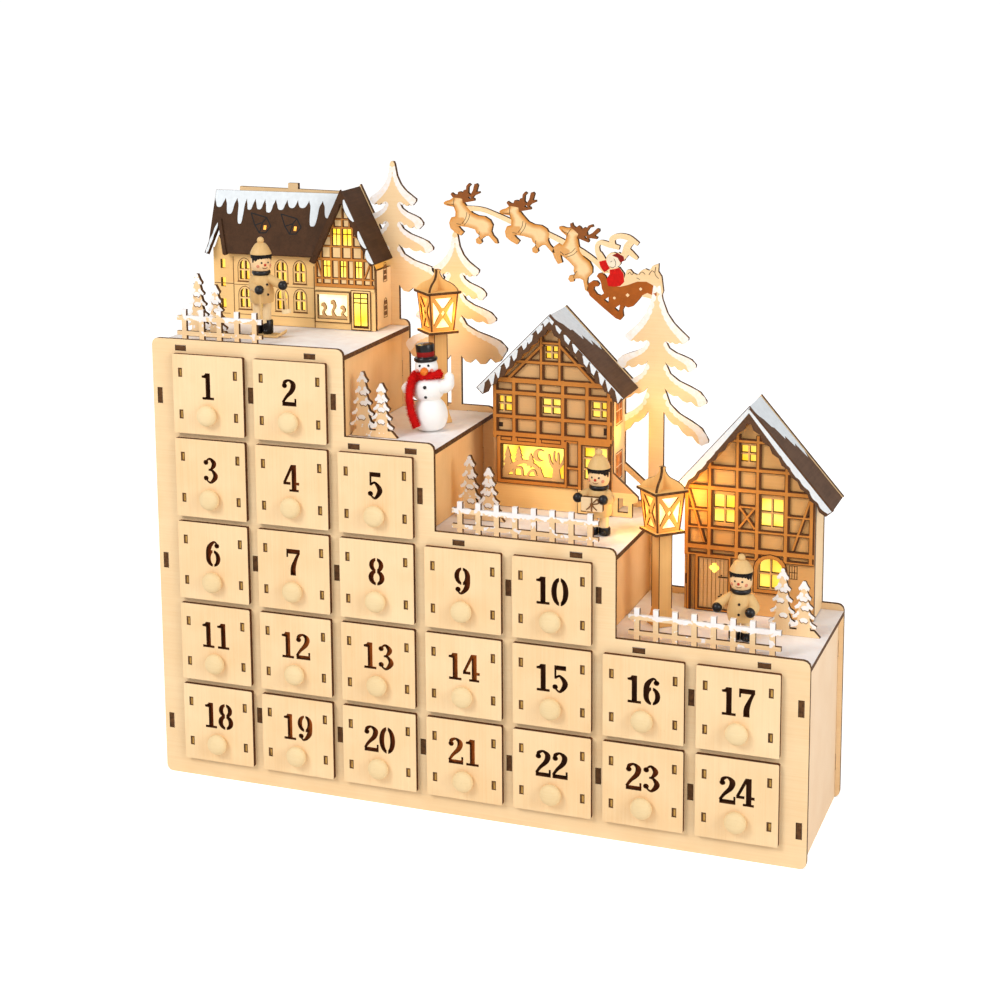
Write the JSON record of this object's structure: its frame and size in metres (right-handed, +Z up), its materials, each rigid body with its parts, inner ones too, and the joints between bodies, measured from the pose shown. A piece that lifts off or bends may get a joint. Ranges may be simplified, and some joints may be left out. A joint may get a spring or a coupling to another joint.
{
  "type": "advent calendar",
  "caption": "Stepped plywood chest of small numbered drawers with turned knobs, below a lit winter village with a cut-out skyline, lamps, fences, firs and figures.",
  "frame": {"origin": "centre of the part's footprint, at the surface it stands on", "axes": "+X to the viewer's right along the row of drawers, +Y to the back, +Z up"},
  "size_m": [0.4094, 0.1178, 0.3839],
  "materials": {
    "birch_plywood": "bare laser-cut plywood with dark burnt edges",
    "snow_paint": "plywood painted snow white",
    "timbered_plywood": "plywood with orange-brown printed timbers",
    "roof_paint": "plywood printed dark brown with white snow",
    "lamp_plywood": "thin bare plywood",
    "turned_wood": "turned, lightly lacquered",
    "white_balls": "wooden balls painted white",
    "black_plastic": "matte moulded plastic"
  },
  "bodies": {
    "chest": {"front_panel": "birch_plywood", "back_panel": "birch_plywood", "left_wall": "birch_plywood", "right_wall": "birch_plywood", "divider_1": "birch_plywood", "divider_2": "birch_plywood", "divider_3": "birch_plywood", "divider_4": "birch_plywood", "divider_5": "birch_plywood", "divider_6": "birch_plywood", "deck_1": "snow_paint", "deck_2": "snow_paint", "deck_3": "snow_paint", "deck_4": "snow_paint", "lower_shelf": "birch_plywood", "bottom_board": "birch_plywood", "house_1": "timbered_plywood", "house_1_roof": "roof_paint", "house_2": "timbered_plywood", "house_2_roof": "roof_paint", "house_3": "timbered_plywood", "house_3_roof": "roof_paint", "lamp_1": "lamp_plywood", "lamp_2": "lamp_plywood", "snowman": "white_balls", "figure_1": "turned_wood", "figure_2": "turned_wood", "figure_3": "turned_wood", "fence_1": "snow_paint", "fence_2": "snow_paint", "fence_3": "snow_paint", "small_trees_1": "birch_plywood", "small_trees_2": "birch_plywood", "small_trees_3": "birch_plywood", "battery_box": "black_plastic"},
    "drawer_01": {"drawer_01": "birch_plywood"},
    "drawer_02": {"drawer_02": "birch_plywood"},
    "drawer_03": {"drawer_03": "birch_plywood"},
    "drawer_04": {"drawer_04": "birch_plywood"},
    "drawer_05": {"drawer_05": "birch_plywood"},
    "drawer_06": {"drawer_06": "birch_plywood"},
    "drawer_07": {"drawer_07": "birch_plywood"},
    "drawer_08": {"drawer_08": "birch_plywood"},
    "drawer_09": {"drawer_09": "birch_plywood"},
    "drawer_10": {"drawer_10": "birch_plywood"},
    "drawer_11": {"drawer_11": "birch_plywood"},
    "drawer_12": {"drawer_12": "birch_plywood"},
    "drawer_13": {"drawer_13": "birch_plywood"},
    "drawer_14": {"drawer_14": "birch_plywood"},
    "drawer_15": {"drawer_15": "birch_plywood"},
    "drawer_16": {"drawer_16": "birch_plywood"},
    "drawer_17": {"drawer_17": "birch_plywood"},
    "drawer_18": {"drawer_18": "birch_plywood"},
    "drawer_19": {"drawer_19": "birch_plywood"},
    "drawer_20": {"drawer_20": "birch_plywood"},
    "drawer_21": {"drawer_21": "birch_plywood"},
    "drawer_22": {"drawer_22": "birch_plywood"},
    "drawer_23": {"drawer_23": "birch_plywood"},
    "drawer_24": {"drawer_24": "birch_plywood"},
    "power_switch": {"power_switch": "black_plastic"}
  },
  "joints": [
    {"name": "drawer_01_slide", "type": "slide", "parent": "chest", "child": "drawer_01", "axis": [0, -1, 0], "range_m": [0, 0.07]},
    {"name": "drawer_02_slide", "type": "slide", "parent": "chest", "child": "drawer_02", "axis": [0, -1, 0], "range_m": [0, 0.07]},
    {"name": "drawer_03_slide", "type": "slide", "parent": "chest", "child": "drawer_03", "axis": [0, -1, 0], "range_m": [0, 0.07]},
    {"name": "drawer_04_slide", "type": "slide", "parent": "chest", "child": "drawer_04", "axis": [0, -1, 0], "range_m": [0, 0.07]},
    {"name": "drawer_05_slide", "type": "slide", "parent": "chest", "child": "drawer_05", "axis": [0, -1, 0], "range_m": [0, 0.07]},
    {"name": "drawer_06_slide", "type": "slide", "parent": "chest", "child": "drawer_06", "axis": [0, -1, 0], "range_m": [0, 0.07]},
    {"name": "drawer_07_slide", "type": "slide", "parent": "chest", "child": "drawer_07", "axis": [0, -1, 0], "range_m": [0, 0.07]},
    {"name": "drawer_08_slide", "type": "slide", "parent": "chest", "child": "drawer_08", "axis": [0, -1, 0], "range_m": [0, 0.07]},
    {"name": "drawer_09_slide", "type": "slide", "parent": "chest", "child": "drawer_09", "axis": [0, -1, 0], "range_m": [0, 0.07]},
    {"name": "drawer_10_slide", "type": "slide", "parent": "chest", "child": "drawer_10", "axis": [0, -1, 0], "range_m": [0, 0.07]},
    {"name": "drawer_11_slide", "type": "slide", "parent": "chest", "child": "drawer_11", "axis": [0, -1, 0], "range_m": [0, 0.07]},
    {"name": "drawer_12_slide", "type": "slide", "parent": "chest", "child": "drawer_12", "axis": [0, -1, 0], "range_m": [0, 0.07]},
    {"name": "drawer_13_slide", "type": "slide", "parent": "chest", "child": "drawer_13", "axis": [0, -1, 0], "range_m": [0, 0.07]},
    {"name": "drawer_14_slide", "type": "slide", "parent": "chest", "child": "drawer_14", "axis": [0, -1, 0], "range_m": [0, 0.07]},
    {"name": "drawer_15_slide", "type": "slide", "parent": "chest", "child": "drawer_15", "axis": [0, -1, 0], "range_m": [0, 0.07]},
    {"name": "drawer_16_slide", "type": "slide", "parent": "chest", "child": "drawer_16", "axis": [0, -1, 0], "range_m": [0, 0.07]},
    {"name": "drawer_17_slide", "type": "slide", "parent": "chest", "child": "drawer_17", "axis": [0, -1, 0], "range_m": [0, 0.07]},
    {"name": "drawer_18_slide", "type": "slide", "parent": "chest", "child": "drawer_18", "axis": [0, -1, 0], "range_m": [0, 0.07]},
    {"name": "drawer_19_slide", "type": "slide", "parent": "chest", "child": "drawer_19", "axis": [0, -1, 0], "range_m": [0, 0.07]},
    {"name": "drawer_20_slide", "type": "slide", "parent": "chest", "child": "drawer_20", "axis": [0, -1, 0], "range_m": [0, 0.07]},
    {"name": "drawer_21_slide", "type": "slide", "parent": "chest", "child": "drawer_21", "axis": [0, -1, 0], "range_m": [0, 0.07]},
    {"name": "drawer_22_slide", "type": "slide", "parent": "chest", "child": "drawer_22", "axis": [0, -1, 0], "range_m": [0, 0.07]},
    {"name": "drawer_23_slide", "type": "slide", "parent": "chest", "child": "drawer_23", "axis": [0, -1, 0], "range_m": [0, 0.07]},
    {"name": "drawer_24_slide", "type": "slide", "parent": "chest", "child": "drawer_24", "axis": [0, -1, 0], "range_m": [0, 0.07]},
    {"name": "power_switch_slide", "type": "slide", "parent": "chest", "child": "power_switch", "axis": [1, 0, 0], "range_m": [0, 0.003]}
  ]
}
